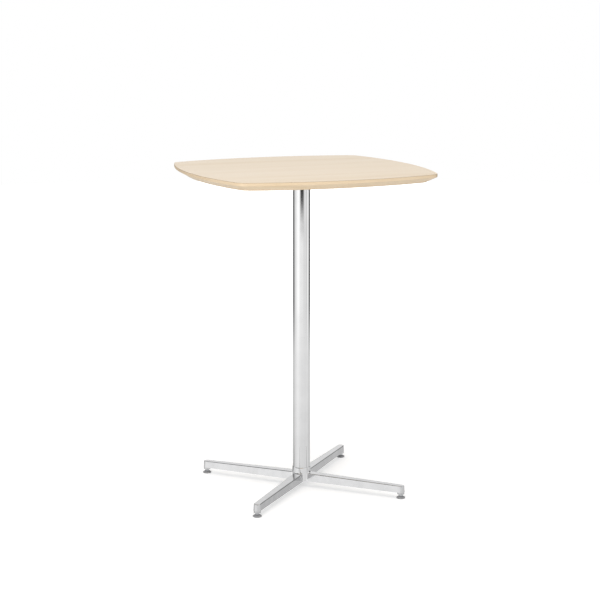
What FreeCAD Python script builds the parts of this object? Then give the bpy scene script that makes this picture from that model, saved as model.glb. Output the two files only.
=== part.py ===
import FreeCAD
import Part
import Sketcher
import math
import os

from FreeCAD import Placement, Rotation, Vector

# Bar table: soft-square wooden top, chromed column, cast four-leg base on levelling glides.
# The floor is z = 0, the column stands on the origin, the sides of the top run along X and Y,
# and the legs and the arms under the top point at its corners.

# Driving dimensions: lengths in millimetres, angles in degrees, shares as plain ratios.
SIZES = {
    # whole table
    "table_height": 1067,
    "leg_angle": 45,
    "cut_overrun": 2,
    "loose_match": 0.2,
    # outline of the top
    "top_width": 762,
    "side_radius": 1037,
    "corner_radius": 40,
    "under_corner_radius": 45,
    "core_corner_radius": 42,
    # layers and edge of the top
    "face_thickness": 1,
    "core_thickness": 25,
    "backing_thickness": 1,
    "edge_height": 9,
    "bevel_width": 30,
    "lipping_land": 8,
    # screws and inserts that hold the mount to the top
    "near_hole_reach": 95,
    "far_hole_reach": 195,
    "insert_radius": 5,
    "insert_length": 15,
    "insert_flange_radius": 7.5,
    "insert_clearance": 0.05,
    "screw_radius": 3,
    "screw_clearance": 0.05,
    "screw_hole_clearance": 0.4,
    "screw_head_radius": 5.5,
    "screw_crown_radius": 3.8,
    "screw_head_height": 3.3,
    "screw_rim_height": 0.8,
    "screw_socket_flats": 4,
    "screw_socket_depth": 2,
    "screw_tip_gap": 3,
    # four-arm mount under the top
    "spider_hub_rim": 5.5,
    "spider_hub_height": 28,
    "arm_root_width": 44,
    "arm_root_step": 6,
    "arm_tip_width": 30,
    "arm_tip_depth": 10,
    "arm_plate_thickness": 6,
    "arm_wall": 4,
    "spider_spigot_length": 26,
    # column
    "column_diameter": 57,
    "column_wall": 2,
    "spigot_clearance": 0.3,
    "spigot_chamfer": 2,
    # tie rod, nut and washers
    "rod_radius": 6,
    "rod_clearance": 0.05,
    "rod_hole_clearance": 0.6,
    "rod_chamfer": 1,
    "rod_top_gap": 5,
    "rod_tail": 4,
    "washer_gap": 4,
    "washer_thickness": 3,
    "lock_washer_band": 3.4,
    "lock_washer_thickness": 3,
    "nut_wall": 3,
    "nut_height": 10,
    # hub of the base
    "collar_rim": 2,
    "collar_height": 19.5,
    "collar_chamfer": 1,
    "recess_wall": 6.5,
    "recess_depth": 21.5,
    "hub_floor_thickness": 14,
    "base_spigot_length": 30,
    "base_spigot_wall": 6,
    # legs of the base
    "boss_gap": 2.3,
    "boss_drop": 6.5,
    "boss_step": 0.5,
    "boss_wall": 7,
    "tip_height": 22.5,
    "tip_width": 24.5,
    "leg_rise": 4.5,
    "root_width": 33.4,
    "root_fillet": 3,
    "web_radius": 6,
    "leg_draft": 3,
    "leg_edge_fillet": 2.4,
    "leg_wall": 3.2,
    "leg_crown": 4.5,
    # levelling glides
    "glide_reach": 353.5,
    "foot_radius": 14.25,
    "foot_rim_height": 3.4,
    "foot_sole_chamfer": 1,
    "foot_floor": 2.6,
    "foot_dome_radius": 7.2,
    "foot_lip": 1.9,
    "socket_fit": 0.1,
    "socket_play": 0.1,
    "stud_radius": 4,
    "stud_fit": 0.05,
    "stud_head_step": 1,
    "stud_head_height": 3,
    "stud_neck_step": 0.8,
    "stud_hex_gap": 0.6,
    "stud_hex_step": 2,
    "stud_hex_height": 3.5,
    "stud_crown_gap": 7,
    "stud_chamfer": 0.8,
}

doc = FreeCAD.newDocument("bar_table")

sheet = doc.addObject("Spreadsheet::Sheet", "dim")
for row, (alias, size) in enumerate(SIZES.items(), start=1):
    sheet.set(f"A{row}", alias)
    sheet.set(f"B{row}", str(size))
    sheet.setAlias(f"B{row}", alias)
doc.recompute()

# Levels of the top, from the face down
FACE_UNDER = "(dim.table_height - dim.face_thickness)"
EDGE_UNDER = f"({FACE_UNDER} - dim.edge_height)"
CORE_UNDER = f"({FACE_UNDER} - dim.core_thickness)"
TOP_UNDER = f"({CORE_UNDER} - dim.backing_thickness)"
COLUMN_TOP = f"({TOP_UNDER} - dim.spider_hub_height)"
ARM_PLATE_UNDER = f"({TOP_UNDER} - dim.arm_plate_thickness)"

# Levels of the glides and the base, from the floor up
SOCKET_TOP = "(dim.foot_floor + dim.stud_head_height + dim.socket_play)"
FOOT_TOP = f"({SOCKET_TOP} + dim.foot_lip)"
HEX_UNDER = f"({FOOT_TOP} + dim.stud_hex_gap)"
BOSS_UNDER = f"({HEX_UNDER} + dim.stud_hex_height + dim.boss_gap)"
LEG_UNDER = f"({BOSS_UNDER} + dim.boss_drop)"
TIP_TOP = f"({LEG_UNDER} + dim.tip_height)"
CROWN_UNDER = f"({TIP_TOP} - dim.leg_crown)"
ROOT_TOP = f"({TIP_TOP} + dim.leg_rise)"
COLLAR_TOP = f"({ROOT_TOP} + dim.collar_height)"

# Column, what it stands on and what fills its ends
COLUMN_RADIUS = "(dim.column_diameter / 2)"
SPIGOT_RADIUS = f"({COLUMN_RADIUS} - dim.column_wall - dim.spigot_clearance)"
SPIDER_HUB_RADIUS = f"({COLUMN_RADIUS} + dim.spider_hub_rim)"
COLLAR_RADIUS = f"({COLUMN_RADIUS} + dim.collar_rim)"

# Tie rod, with its washers and nut in the recess under the hub
ROD_HOLE_RADIUS = "(dim.rod_radius + dim.rod_hole_clearance)"
ROD_THREAD_RADIUS = "(dim.rod_radius + dim.rod_clearance)"
RECESS_RADIUS = f"({COLLAR_RADIUS} - dim.recess_wall)"
RECESS_TOP = f"({LEG_UNDER} + dim.recess_depth)"
WASHER_UNDER = f"({RECESS_TOP} - dim.washer_thickness)"
LOCK_WASHER_UNDER = f"({WASHER_UNDER} - dim.lock_washer_thickness)"
NUT_UNDER = f"({LOCK_WASHER_UNDER} - dim.nut_height)"

# Round tips of the legs, and the hollow arcs between the legs inside the hub
TIP_RADIUS = "(dim.tip_width / 2)"
WEB_PLACE = "(dim.root_width / 2 + dim.web_radius)"

QUARTERS = {"front_left": 2, "front_right": 3, "back_right": 0, "back_left": 1}
QUARTER_TURN = 90
FULL_TURN = 360


def number(expression):
    return float(sheet.evalExpression(expression))


def new_body(label):
    body = doc.addObject("PartDesign::Body", label)
    body.Label = label
    return body


def origin_part(body, role):
    return [part for part in body.Origin.OriginFeatures if part.Role == role][0]


# A sketch on one of the body's own planes, moved along the plane's x and normal
def new_sketch(body, name, plane, level=None, reach=None):
    sketch = body.newObject("Sketcher::SketchObject", name)
    sketch.AttachmentSupport = [(origin_part(body, plane), "")]
    sketch.MapMode = "FlatFace"
    if level:
        sketch.setExpression("AttachmentOffset.Base.z", level)
    if reach:
        sketch.setExpression("AttachmentOffset.Base.x", reach)
    return sketch


def bind(sketch, constraint, expression):
    index = sketch.addConstraint(constraint)
    sketch.setExpression(f"Constraints[{index}]", expression)


# Holds one point of a sketch at a place given by two expressions
def hold_point(sketch, curve, end, x, y):
    if x == "0":
        sketch.addConstraint(Sketcher.Constraint("PointOnObject", curve, end, -2))
    else:
        bind(sketch, Sketcher.Constraint("DistanceX", -1, 1, curve, end, number(x)), x)
    if y == "0":
        sketch.addConstraint(Sketcher.Constraint("PointOnObject", curve, end, -1))
    else:
        bind(sketch, Sketcher.Constraint("DistanceY", -1, 1, curve, end, number(y)), y)


# A closed outline of straight lines through points given as pairs of expressions
def draw_polygon(sketch, points):
    corners = [Vector(number(x), number(y), 0) for x, y in points]
    following = corners[1:] + corners[:1]
    for corner, after in zip(corners, following):
        sketch.addGeometry(Part.LineSegment(corner, after))
    for index in range(len(points)):
        after = (index + 1) % len(points)
        sketch.addConstraint(Sketcher.Constraint("Coincident", index, 2, after, 1))
    for index, (x, y) in enumerate(points):
        hold_point(sketch, index, 1, x, y)


def draw_circle(sketch, radius, x="0"):
    centre = Vector(number(x), 0, 0)
    circle = sketch.addGeometry(Part.Circle(centre, Vector(0, 0, 1), number(radius)))
    hold_point(sketch, circle, 3, x, "0")
    bind(sketch, Sketcher.Constraint("Radius", circle, number(radius)), radius)


def draw_hexagon(sketch, flats):
    tip = f"({flats} / sqrt(3))"
    half_tip = f"({tip} / 2)"
    half_flats = f"({flats} / 2)"
    right = [(half_tip, f"-{half_flats}"), (tip, "0"), (half_tip, half_flats)]
    left = [(f"-{half_tip}", half_flats), (f"-{tip}", "0"), (f"-{half_tip}", f"-{half_flats}")]
    draw_polygon(sketch, right + left)


# A tapered strip along +x, as wide as given at its near and far end
def draw_taper(sketch, near, far, near_width, far_width):
    near_half = f"({near_width}) / 2"
    far_half = f"({far_width}) / 2"
    near_side = [(near, f"-({near_half})"), (far, f"-({far_half})")]
    draw_polygon(sketch, near_side + [(far, far_half), (near, near_half)])


# The outline of the top: four bowed sides joined by four tangent corner arcs
def draw_soft_square(sketch, inset, corner):
    bow_radius = number(f"dim.side_radius - {inset}")
    corner_radius = number(corner)
    bow_centre = number("dim.side_radius - dim.top_width / 2")
    apart = bow_radius - corner_radius
    corner_place = (math.sqrt(2 * apart**2 - bow_centre**2) - bow_centre) / 2
    meeting = math.atan2(corner_place, corner_place + bow_centre)
    up = Vector(0, 0, 1)
    for turn in range(4):
        ahead = turn * math.pi / 2
        side_centre = Vector(-bow_centre * math.cos(ahead), -bow_centre * math.sin(ahead), 0)
        side = Part.Circle(side_centre, up, bow_radius)
        sketch.addGeometry(Part.ArcOfCircle(side, ahead - meeting, ahead + meeting))
        diagonal = ahead + math.pi / 4
        corner_reach = corner_place * math.sqrt(2)
        corner_centre = Vector(corner_reach * math.cos(diagonal), corner_reach * math.sin(diagonal), 0)
        rounding = Part.Circle(corner_centre, up, corner_radius)
        end = ahead + math.pi / 2 - meeting
        sketch.addGeometry(Part.ArcOfCircle(rounding, ahead + meeting, end))
    for curve in range(8):
        following = (curve + 1) % 8
        sketch.addConstraint(Sketcher.Constraint("Tangent", curve, 2, following, 1))
    for turn in range(4):
        side = 2 * turn
        sketch.addConstraint(Sketcher.Constraint("PointOnObject", side, 3, -1 - turn % 2))
        direction = "DistanceX" if turn % 2 == 0 else "DistanceY"
        ends = (side, 3, -1, 1) if turn < 2 else (-1, 1, side, 3)
        place = Sketcher.Constraint(direction, *ends, bow_centre)
        bind(sketch, place, "dim.side_radius - dim.top_width / 2")
        bow = Sketcher.Constraint("Radius", side, bow_radius)
        bind(sketch, bow, f"dim.side_radius - {inset}")
        bind(sketch, Sketcher.Constraint("Radius", side + 1, corner_radius), corner)


def pad(body, sketch, name, length, downward=False):
    feature = body.newObject("PartDesign::Pad", name)
    feature.Profile = sketch
    feature.setExpression("Length", length)
    feature.Reversed = downward
    return feature


def pocket(body, sketch, name, depth, upward=False):
    feature = body.newObject("PartDesign::Pocket", name)
    feature.Profile = sketch
    feature.setExpression("Length", depth)
    feature.Reversed = upward
    return feature


# A full turn of a profile of radius and height about the sketch's own upright axis
def revolve(body, name, points, reach=None):
    sketch = new_sketch(body, f"{name}_profile", "XZ_Plane", reach=reach)
    draw_polygon(sketch, points)
    feature = body.newObject("PartDesign::Revolution", name)
    feature.Profile = sketch
    feature.ReferenceAxis = (sketch, ["V_Axis"])
    feature.Angle = FULL_TURN
    return feature


# A full turn of a profile that takes material away
def cut_away(body, sketch, name):
    feature = body.newObject("PartDesign::Groove", name)
    feature.Profile = sketch
    feature.ReferenceAxis = (sketch, ["V_Axis"])
    feature.Angle = FULL_TURN
    return feature


def loft(body, name, sketches):
    feature = body.newObject("PartDesign::AdditiveLoft", name)
    feature.Profile = sketches[0]
    feature.Sections = sketches[1:]
    feature.Ruled = True
    return feature


# Copies features four times about the column's axis
def four_round(body, name, features):
    pattern = body.newObject("PartDesign::PolarPattern", name)
    pattern.Originals = features
    pattern.Axis = (origin_part(body, "Z_Axis"), [""])
    pattern.Angle = FULL_TURN
    pattern.Occurrences = len(QUARTERS)
    body.Tip = pattern
    return pattern


# Turns a body that was drawn along X to the direction of the legs
def turn_to_legs(body):
    body.Placement = Placement(Vector(), Rotation(Vector(0, 0, 1), SIZES["leg_angle"]))
    body.setExpression("Placement.Rotation.Angle", "dim.leg_angle * 1 deg")


# A section across a leg or an arm, narrower at the top by its draft
def cross_section(body, name, reach, bottom, top, top_width, draft):
    sketch = new_sketch(body, name, "YZ_Plane", level=reach)
    top_half = f"({top_width} / 2)"
    bottom_half = f"({top_half} + {draft} * ({top} - {bottom}))"
    lower = [(f"-{bottom_half}", bottom), (bottom_half, bottom)]
    draw_polygon(sketch, lower + [(top_half, top), (f"-{top_half}", top)])
    return sketch


# Outlines of the layers of the top
def face_outline(body, name, level):
    sketch = new_sketch(body, name, "XY_Plane", level)
    draw_soft_square(sketch, "0", "dim.corner_radius")
    return sketch


def under_outline(body, name, level):
    sketch = new_sketch(body, name, "XY_Plane", level)
    draw_soft_square(sketch, "dim.bevel_width", "dim.under_corner_radius")
    return sketch


def core_outline(body, name, level):
    sketch = new_sketch(body, name, "XY_Plane", level)
    draw_soft_square(sketch, "(dim.bevel_width + dim.lipping_land)", "dim.core_corner_radius")
    return sketch


# Round holes for the inserts, two on each arm, from a level upward
def drill_for_inserts(body, level, radius, depth):
    sketch = new_sketch(body, "insert_holes_sketch", "XY_Plane", level)
    sketch.AttachmentOffset = Placement(Vector(), Rotation(Vector(0, 0, 1), SIZES["leg_angle"]))
    sketch.setExpression("AttachmentOffset.Rotation.Angle", "dim.leg_angle * 1 deg")
    draw_circle(sketch, radius, "dim.near_hole_reach")
    draw_circle(sketch, radius, "dim.far_hole_reach")
    holes = pocket(body, sketch, "insert_holes", depth, upward=True)
    four_round(body, "insert_holes_round", [holes])


def make_face_veneer():
    body = new_body("face_veneer")
    outline = face_outline(body, "face_outline", FACE_UNDER)
    pad(body, outline, "face_sheet", "dim.face_thickness")
    return [body]


def make_top_core():
    body = new_body("top_core")
    outline = core_outline(body, "core_outline", CORE_UNDER)
    pad(body, outline, "core_panel", "dim.core_thickness")
    hole_radius = "(dim.insert_radius + dim.insert_clearance)"
    start = f"({CORE_UNDER} - dim.cut_overrun)"
    drill_for_inserts(body, start, hole_radius, "dim.insert_length + dim.cut_overrun")
    return [body]


def make_backing_veneer():
    body = new_body("backing_veneer")
    outline = under_outline(body, "backing_outline", TOP_UNDER)
    pad(body, outline, "backing_sheet", "dim.backing_thickness")
    hole_radius = "(dim.insert_flange_radius + dim.insert_clearance)"
    start = f"({TOP_UNDER} - dim.cut_overrun)"
    drill_for_inserts(body, start, hole_radius, "dim.backing_thickness + 2 * dim.cut_overrun")
    return [body]


# One ring with the upright edge and the bevel, cut along the diagonals into four lippings
def make_lippings():
    ring = new_body("lipping_ring")
    edge = face_outline(ring, "edge_outline", EDGE_UNDER)
    pad(ring, edge, "upright_edge", "dim.edge_height")
    bevel_top = face_outline(ring, "bevel_top", EDGE_UNDER)
    bevel_foot = under_outline(ring, "bevel_foot", CORE_UNDER)
    loft(ring, "bevel", [bevel_top, bevel_foot])
    opening = core_outline(ring, "core_opening_outline", f"({CORE_UNDER} - dim.cut_overrun)")
    pocket(ring, opening, "core_opening", "dim.core_thickness + 2 * dim.cut_overrun", upward=True)
    lippings = []
    for turn, side in enumerate(["right", "back", "left", "front"]):
        sector = doc.addObject("Part::Box", f"mitre_{side}")
        sector.setExpression("Length", "dim.top_width")
        sector.setExpression("Width", "dim.top_width")
        sector.setExpression("Height", "dim.core_thickness")
        first_mitre = turn * QUARTER_TURN - QUARTER_TURN / 2
        sector.Placement = Placement(Vector(), Rotation(Vector(0, 0, 1), first_mitre))
        sector.setExpression("Placement.Base.z", CORE_UNDER)
        lipping = doc.addObject("Part::Common", f"lipping_{side}")
        lipping.Base = ring
        lipping.Tool = sector
        lippings.append(lipping)
    return lippings


def make_threaded_inserts():
    body = new_body("threaded_inserts")
    bore = "(dim.screw_radius + dim.screw_clearance)"
    top = f"({CORE_UNDER} + dim.insert_length)"
    flange = [(bore, TOP_UNDER), ("dim.insert_flange_radius", TOP_UNDER)]
    flange_top = [("dim.insert_flange_radius", CORE_UNDER), ("dim.insert_radius", CORE_UNDER)]
    profile = flange + flange_top + [("dim.insert_radius", top), (bore, top)]
    near = revolve(body, "near_insert", profile, "dim.near_hole_reach")
    far = revolve(body, "far_insert", profile, "dim.far_hole_reach")
    four_round(body, "inserts_round", [near, far])
    turn_to_legs(body)
    return [body]


def make_top_screws():
    body = new_body("top_screws")
    head_under = f"({ARM_PLATE_UNDER} - dim.screw_head_height)"
    rim_under = f"({ARM_PLATE_UNDER} - dim.screw_rim_height)"
    tip = f"({CORE_UNDER} + dim.insert_length - dim.screw_tip_gap)"
    head = [("0", head_under), ("dim.screw_crown_radius", head_under), ("dim.screw_head_radius", rim_under)]
    rim = [("dim.screw_head_radius", ARM_PLATE_UNDER), ("dim.screw_radius", ARM_PLATE_UNDER)]
    profile = head + rim + [("dim.screw_radius", tip), ("0", tip)]
    features = []
    for place in ("near", "far"):
        reach = f"dim.{place}_hole_reach"
        features.append(revolve(body, f"{place}_screw", profile, reach))
        start = f"({head_under} - dim.cut_overrun)"
        sketch = new_sketch(body, f"{place}_socket_sketch", "XY_Plane", start, reach)
        draw_hexagon(sketch, "dim.screw_socket_flats")
        depth = "dim.screw_socket_depth + dim.cut_overrun"
        features.append(pocket(body, sketch, f"{place}_socket", depth, upward=True))
    four_round(body, "screws_round", features)
    turn_to_legs(body)
    return [body]


# Four channel-shaped arms on a hub, with a spigot that fills the end of the column
def make_top_spider():
    body = new_body("top_spider")
    spigot_under = f"({COLUMN_TOP} - dim.spider_spigot_length)"
    spigot_edge = f"({spigot_under} + dim.spigot_chamfer)"
    hub = [(ROD_THREAD_RADIUS, TOP_UNDER), (ROD_THREAD_RADIUS, spigot_under)]
    spigot = [(f"({SPIGOT_RADIUS} - dim.spigot_chamfer)", spigot_under), (SPIGOT_RADIUS, spigot_edge)]
    shoulder = [(SPIGOT_RADIUS, COLUMN_TOP), (SPIDER_HUB_RADIUS, COLUMN_TOP)]
    revolve(body, "spider_hub", hub + spigot + shoulder + [(SPIDER_HUB_RADIUS, TOP_UNDER)])
    root_reach = f"({SPIDER_HUB_RADIUS} / 2)"
    root_under = f"({COLUMN_TOP} + dim.arm_root_step)"
    tip_under = f"({TOP_UNDER} - dim.arm_tip_depth)"
    root = cross_section(body, "arm_root", root_reach, root_under, TOP_UNDER, "dim.arm_root_width", "0")
    tip_reach = "dim.far_hole_reach"
    tip = cross_section(body, "arm_tip", tip_reach, tip_under, TOP_UNDER, "dim.arm_tip_width", "0")
    arm = loft(body, "arm", [root, tip])
    end_sketch = new_sketch(body, "arm_end_sketch", "XY_Plane", TOP_UNDER)
    draw_circle(end_sketch, "(dim.arm_tip_width / 2)", tip_reach)
    end = pad(body, end_sketch, "arm_end", "dim.arm_tip_depth", downward=True)
    four_round(body, "arms_round", [arm, end])
    channel_start = f"({root_under} - dim.cut_overrun)"
    channel_depth = f"{ARM_PLATE_UNDER} - {channel_start}"
    channel_sketch = new_sketch(body, "channel_sketch", "XY_Plane", channel_start)
    near = f"({SPIDER_HUB_RADIUS} + dim.arm_wall)"
    far_width = "(dim.arm_tip_width - 2 * dim.arm_wall)"
    draw_taper(channel_sketch, near, tip_reach, "dim.arm_root_width - 2 * dim.arm_wall", far_width)
    channel = pocket(body, channel_sketch, "channel", channel_depth, upward=True)
    round_sketch = new_sketch(body, "channel_end_sketch", "XY_Plane", channel_start)
    draw_circle(round_sketch, f"({far_width} / 2)", tip_reach)
    channel_end = pocket(body, round_sketch, "channel_end", channel_depth, upward=True)
    hole_sketch = new_sketch(body, "screw_holes_sketch", "XY_Plane", channel_start)
    hole_radius = "(dim.screw_radius + dim.screw_hole_clearance)"
    draw_circle(hole_sketch, hole_radius, "dim.near_hole_reach")
    draw_circle(hole_sketch, hole_radius, "dim.far_hole_reach")
    hole_depth = f"{TOP_UNDER} - {channel_start} + dim.cut_overrun"
    holes = pocket(body, hole_sketch, "screw_holes", hole_depth, upward=True)
    four_round(body, "cuts_round", [channel, channel_end, holes])
    turn_to_legs(body)
    return [body]


def make_column():
    body = new_body("column_tube")
    sketch = new_sketch(body, "tube_section", "XY_Plane", COLLAR_TOP)
    draw_circle(sketch, COLUMN_RADIUS)
    draw_circle(sketch, f"({COLUMN_RADIUS} - dim.column_wall)")
    pad(body, sketch, "tube", f"{COLUMN_TOP} - {COLLAR_TOP}")
    return [body]


def make_tie_rod():
    body = new_body("tie_rod")
    foot = f"({NUT_UNDER} - dim.rod_tail)"
    top = f"({TOP_UNDER} - dim.rod_top_gap)"
    narrow = "(dim.rod_radius - dim.rod_chamfer)"
    lower = [("0", foot), (narrow, foot), ("dim.rod_radius", f"({foot} + dim.rod_chamfer)")]
    upper = [("dim.rod_radius", f"({top} - dim.rod_chamfer)"), (narrow, top), ("0", top)]
    revolve(body, "rod", lower + upper)
    return [body]


# A washer round the tie rod
def make_ring(label, radius, bottom, thickness):
    body = new_body(label)
    sketch = new_sketch(body, "ring_section", "XY_Plane", bottom)
    draw_circle(sketch, radius)
    draw_circle(sketch, ROD_HOLE_RADIUS)
    pad(body, sketch, "ring", thickness)
    return body


def make_tie_rod_fasteners():
    washer_radius = f"({RECESS_RADIUS} - dim.washer_gap)"
    washer = make_ring("tie_rod_washer", washer_radius, WASHER_UNDER, "dim.washer_thickness")
    lock_radius = f"({ROD_HOLE_RADIUS} + dim.lock_washer_band)"
    lock = make_ring("tie_rod_lock_washer", lock_radius, LOCK_WASHER_UNDER, "dim.lock_washer_thickness")
    nut = new_body("tie_rod_nut")
    section = new_sketch(nut, "nut_section", "XY_Plane", NUT_UNDER)
    draw_hexagon(section, "(2 * (dim.rod_radius + dim.nut_wall))")
    pad(nut, section, "nut_block", "dim.nut_height")
    thread = new_sketch(nut, "nut_thread", "XY_Plane", f"({NUT_UNDER} - dim.cut_overrun)")
    draw_circle(thread, ROD_THREAD_RADIUS)
    pocket(nut, thread, "nut_hole", "dim.nut_height + 2 * dim.cut_overrun", upward=True)
    return [washer, lock, nut]


# The plan of the base: four legs with round tips, joined by hollow arcs inside the hub
def draw_star_plan(sketch):
    reach = number("dim.glide_reach")
    tip_radius = number(TIP_RADIUS)
    web_radius = number("dim.web_radius")
    web_place = number(WEB_PLACE)
    apart = math.hypot(reach - web_place, web_place)
    lean = math.atan2(web_place, web_place - reach) - math.acos((tip_radius + web_radius) / apart)
    up = Vector(0, 0, 1)
    side_way = Vector(math.cos(lean), math.sin(lean), 0)
    web_centre = Vector(web_place, web_place, 0)
    leg_side = [Vector(reach, 0, 0) + side_way * tip_radius, web_centre - side_way * web_radius]
    next_side = [Vector(point.y, point.x, 0) for point in reversed(leg_side)]
    for turn in range(4):
        ahead = turn * math.pi / 2
        turned = Rotation(up, turn * QUARTER_TURN)
        tip_arc = Part.Circle(turned.multVec(Vector(reach, 0, 0)), up, tip_radius)
        sketch.addGeometry(Part.ArcOfCircle(tip_arc, ahead - lean, ahead + lean))
        sketch.addGeometry(Part.LineSegment(*[turned.multVec(point) for point in leg_side]))
        web_arc = Part.Circle(turned.multVec(web_centre), up, web_radius)
        sketch.addGeometry(Part.ArcOfCircle(web_arc, ahead + 3 * math.pi / 2 - lean, ahead + math.pi + lean))
        sketch.addGeometry(Part.LineSegment(*[turned.multVec(point) for point in next_side]))
    across = "dim.glide_reach"
    tip_places = [(across, "0"), ("0", across), (f"-{across}", "0"), ("0", f"-{across}")]
    signs = [("", ""), ("-", ""), ("-", "-"), ("", "-")]
    for turn in range(4):
        tip = 4 * turn
        side, web, next_leg = tip + 1, tip + 2, tip + 3
        next_tip = (tip + 4) % 16
        sketch.addConstraint(Sketcher.Constraint("Tangent", tip, 2, side, 1))
        sketch.addConstraint(Sketcher.Constraint("Tangent", side, 2, web, 2))
        sketch.addConstraint(Sketcher.Constraint("Tangent", web, 1, next_leg, 1))
        sketch.addConstraint(Sketcher.Constraint("Tangent", next_leg, 2, next_tip, 1))
        hold_point(sketch, tip, 3, *tip_places[turn])
        bind(sketch, Sketcher.Constraint("Radius", tip, tip_radius), TIP_RADIUS)
        hold_point(sketch, web, 3, signs[turn][0] + WEB_PLACE, signs[turn][1] + WEB_PLACE)
        bind(sketch, Sketcher.Constraint("Radius", web, web_radius), "dim.web_radius")


# Four drafted legs in one piece, with an upper side that falls from the hub to the tips
def make_legs(body):
    plan = new_sketch(body, "star_plan", "XY_Plane", LEG_UNDER)
    draw_star_plan(plan)
    star = pad(body, plan, "star", f"{ROOT_TOP} + dim.cut_overrun - {LEG_UNDER}")
    star.setExpression("TaperAngle", "-dim.leg_draft * 1 deg")
    slope = new_sketch(body, "leg_slope_profile", "XZ_Plane")
    near = RECESS_RADIUS
    far = "(dim.glide_reach + dim.tip_width)"
    run = f"(dim.glide_reach - {COLLAR_RADIUS})"
    near_top = f"({ROOT_TOP} + dim.leg_rise * ({COLLAR_RADIUS} - {near}) / {run})"
    far_top = f"({ROOT_TOP} - dim.leg_rise * ({far} - {COLLAR_RADIUS}) / {run})"
    above = f"({ROOT_TOP} + 2 * dim.cut_overrun)"
    draw_polygon(slope, [(near, near_top), (far, far_top), (far, above), (near, above)])
    sloped = cut_away(body, slope, "leg_slope")
    doc.recompute()
    round_upper_edges(body, sloped)
    boss_sketch = new_sketch(body, "boss_sketch", "XY_Plane", BOSS_UNDER)
    draw_circle(boss_sketch, f"({TIP_RADIUS} - dim.boss_step)", "dim.glide_reach")
    boss = pad(body, boss_sketch, "boss", "dim.boss_drop + dim.cut_overrun")
    four_round(body, "bosses_round", [boss])


# Hub with collar and spigot, four hollow tapered legs with a boss at each tip
def make_base():
    body = new_body("base_casting")
    make_legs(body)
    spigot_top = f"({COLLAR_TOP} + dim.base_spigot_length)"
    spigot_bore = f"({SPIGOT_RADIUS} - dim.base_spigot_wall)"
    collar = [("0", LEG_UNDER), (COLLAR_RADIUS, LEG_UNDER), (COLLAR_RADIUS, f"({COLLAR_TOP} - dim.collar_chamfer)")]
    rim = [(f"({COLLAR_RADIUS} - dim.collar_chamfer)", COLLAR_TOP), (SPIGOT_RADIUS, COLLAR_TOP)]
    spigot = [(SPIGOT_RADIUS, f"({spigot_top} - dim.spigot_chamfer)")]
    spigot_end = [(f"({SPIGOT_RADIUS} - dim.spigot_chamfer)", spigot_top), ("0", spigot_top)]
    hub = revolve(body, "hub", collar + rim + spigot + spigot_end)
    doc.recompute()
    round_leg_roots(body, hub)
    below = f"({LEG_UNDER} - dim.cut_overrun)"
    beyond = f"({spigot_top} + dim.cut_overrun)"
    floor_top = f"({RECESS_TOP} + dim.hub_floor_thickness)"
    recess = [("0", below), (RECESS_RADIUS, below), (RECESS_RADIUS, RECESS_TOP)]
    rod_hole = [(ROD_HOLE_RADIUS, RECESS_TOP), (ROD_HOLE_RADIUS, floor_top)]
    bore = [(spigot_bore, floor_top), (spigot_bore, beyond), ("0", beyond)]
    bore_sketch = new_sketch(body, "bore_profile", "XZ_Plane")
    draw_polygon(bore_sketch, recess + rod_hole + bore)
    cut_away(body, bore_sketch, "bore")
    channel_sketch = new_sketch(body, "leg_channel_sketch", "XY_Plane", below)
    near = f"({COLLAR_RADIUS} + dim.leg_wall)"
    far = f"(dim.glide_reach - {TIP_RADIUS} - dim.boss_wall)"
    near_width = "dim.root_width - 2 * dim.leg_wall"
    draw_taper(channel_sketch, near, far, near_width, "dim.tip_width - 2 * dim.leg_wall")
    channel_depth = f"{CROWN_UNDER} - {below}"
    channel = pocket(body, channel_sketch, "leg_channel", channel_depth, upward=True)
    hole_sketch = new_sketch(body, "stud_hole_sketch", "XY_Plane", f"({BOSS_UNDER} - dim.cut_overrun)")
    draw_circle(hole_sketch, "(dim.stud_radius + dim.stud_fit)", "dim.glide_reach")
    hole_depth = f"{CROWN_UNDER} - {BOSS_UNDER} + dim.cut_overrun"
    hole = pocket(body, hole_sketch, "stud_hole", hole_depth, upward=True)
    four_round(body, "leg_cuts_round", [channel, hole])
    turn_to_legs(body)
    return [body]


def round_edges(body, name, base, is_wanted, radius):
    edges = enumerate(base.Shape.Edges, start=1)
    names = [f"Edge{index}" for index, edge in edges if is_wanted([vertex.Point for vertex in edge.Vertexes])]
    fillet = body.newObject("PartDesign::Fillet", name)
    fillet.Base = (base, names)
    fillet.setExpression("Radius", radius)


# Rounds the upper edges that run all the way round the legs
def round_upper_edges(body, base):
    lowest = number(CROWN_UNDER + " + dim.leg_crown / 2")
    inner = number(RECESS_RADIUS + " + dim.loose_match")

    def is_upper_edge(ends):
        return all(end.z > lowest and math.hypot(end.x, end.y) > inner for end in ends)

    round_edges(body, "upper_edges", base, is_upper_edge, "dim.leg_edge_fillet")


# Rounds the hollow corners where the legs leave the hub
def round_leg_roots(body, base):
    radius = number(COLLAR_RADIUS)
    lowest, highest = number(LEG_UNDER), number(ROOT_TOP)
    match = number("dim.loose_match")

    def is_root_edge(ends):
        on_hub = all(abs(math.hypot(end.x, end.y) - radius) < match for end in ends)
        return on_hub and all(end.z < highest + match for end in ends) and any(end.z > lowest + match for end in ends)

    round_edges(body, "leg_roots", base, is_root_edge, "dim.root_fillet")


# Puts a body that was drawn on the origin at the tip of one leg
def place_at_tip(body, quarter):
    angle = f"((dim.leg_angle + {quarter * QUARTER_TURN}) * 1 deg)"
    body.setExpression("Placement.Base.x", f"dim.glide_reach * cos({angle})")
    body.setExpression("Placement.Base.y", f"dim.glide_reach * sin({angle})")


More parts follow.
